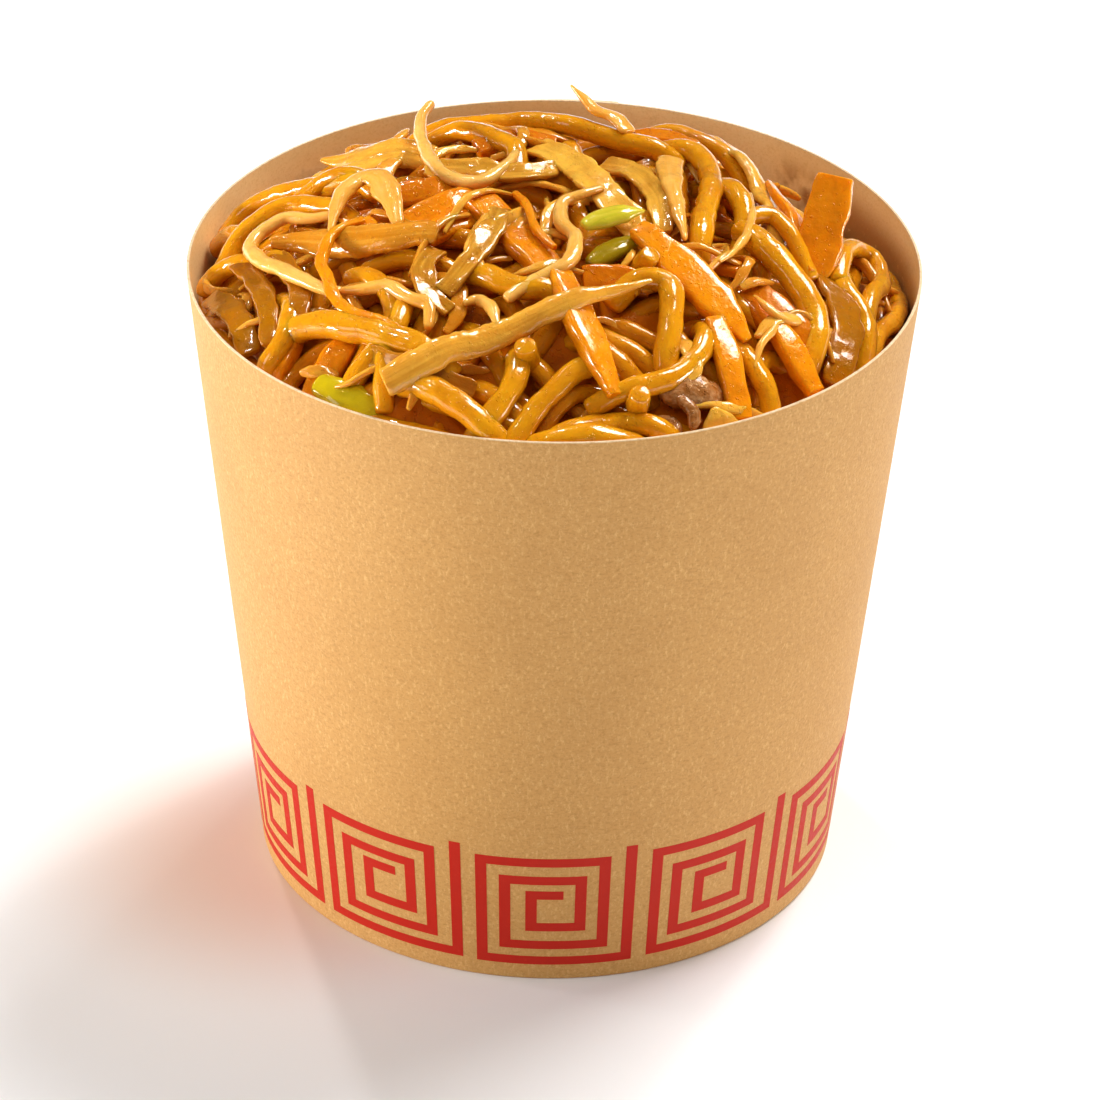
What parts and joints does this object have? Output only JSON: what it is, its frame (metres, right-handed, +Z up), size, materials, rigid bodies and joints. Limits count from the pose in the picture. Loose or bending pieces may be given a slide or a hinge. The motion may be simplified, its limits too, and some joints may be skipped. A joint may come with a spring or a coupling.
{
  "type": "paper noodle tub",
  "caption": "Tapered round kraft-paper takeaway tub with a red square-spiral border, heaped with glossy stir-fried noodles and vegetable strips.",
  "frame": {"origin": "centre of the tub's foot, on the surface it stands on", "axes": "+Z up along the tub's axis, -Y towards the front of the heap, +X to its right"},
  "size_m": [0.11, 0.1104, 0.1167],
  "materials": {
    "kraft_board": "uncoated brown kraft board, matt, with fine fibres",
    "kraft_base": "uncoated brown kraft board",
    "noodles": "wheat noodles glazed with brown stir-fry sauce, wet and glossy",
    "carrot": "cooked carrot, orange, glazed",
    "onion": "soft translucent onion, glazed",
    "cabbage": "soft translucent cabbage, glazed",
    "greens": "green spring onion and pepper, glazed",
    "mushroom": "sliced mushroom, brown, glazed",
    "sauce": "dark brown stir-fry sauce, wet",
    "border_ink": "red printing ink with a slight gloss"
  },
  "bodies": {
    "root": {"tub_wall": "kraft_board", "tub_base": "kraft_base", "noodle_heap": "noodles", "carrot_baton_front": "carrot", "carrot_slice_right": "carrot", "carrot_baton_right": "carrot", "carrot_slice_rim": "carrot", "carrot_baton_left": "carrot", "carrot_slab_top": "carrot", "carrot_wedge": "carrot", "onion_strip_front": "onion", "onion_strip_left": "onion", "cabbage_top": "cabbage", "cabbage_back": "cabbage", "cabbage_rim": "cabbage", "spring_onion": "greens", "green_pepper": "greens", "mushroom": "mushroom"}
  },
  "joints": []
}
